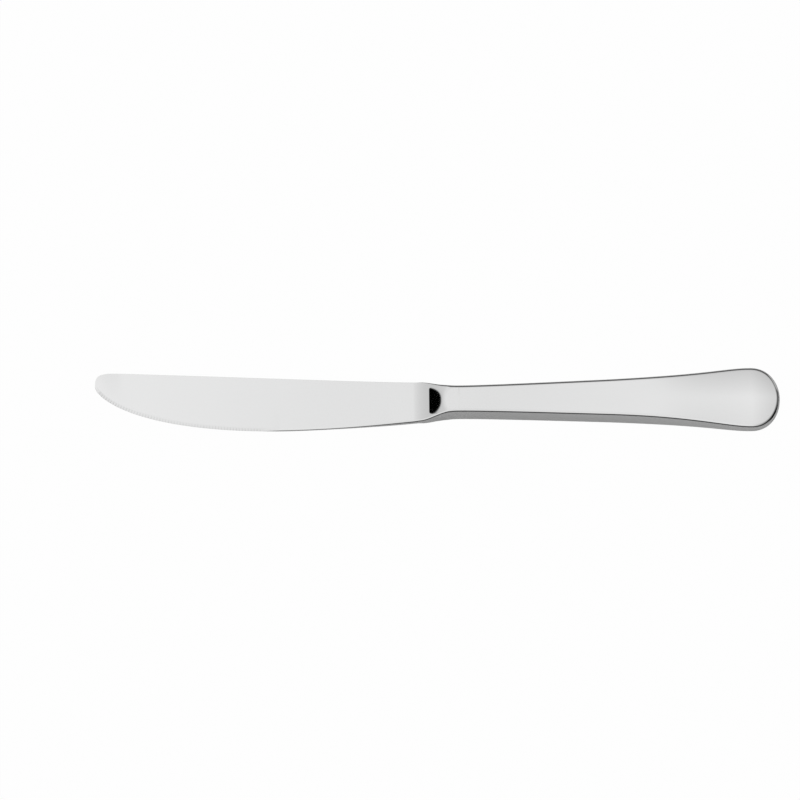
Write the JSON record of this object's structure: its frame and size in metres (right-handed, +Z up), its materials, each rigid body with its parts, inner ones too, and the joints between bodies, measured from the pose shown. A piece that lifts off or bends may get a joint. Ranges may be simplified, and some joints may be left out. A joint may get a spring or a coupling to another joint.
{
  "type": "dessert knife",
  "caption": "Polished steel dessert knife with a finely serrated blade and a flared hollow handle, whose half shells are brazed round a cemented tang.",
  "frame": {"origin": "middle of the knife's outline, on the surface that the knife lies on", "axes": "+X from the blade's tip to the butt of the handle, +Y from the cutting edge to the spine, +Z up from the surface that the knife lies on"},
  "size_m": [0.208, 0.0204, 0.0063],
  "materials": {
    "polished_steel": "mirror polished stainless steel with faint polishing lines",
    "brazing_alloy": "silver braze, ground flush and polished",
    "handle_cement": "set cement, matt"
  },
  "bodies": {
    "root": {"blade": "polished_steel", "handle_upper_shell": "polished_steel", "handle_lower_shell": "polished_steel", "seam_braze": "brazing_alloy", "neck_braze": "brazing_alloy", "tang_cement": "handle_cement"}
  },
  "joints": []
}
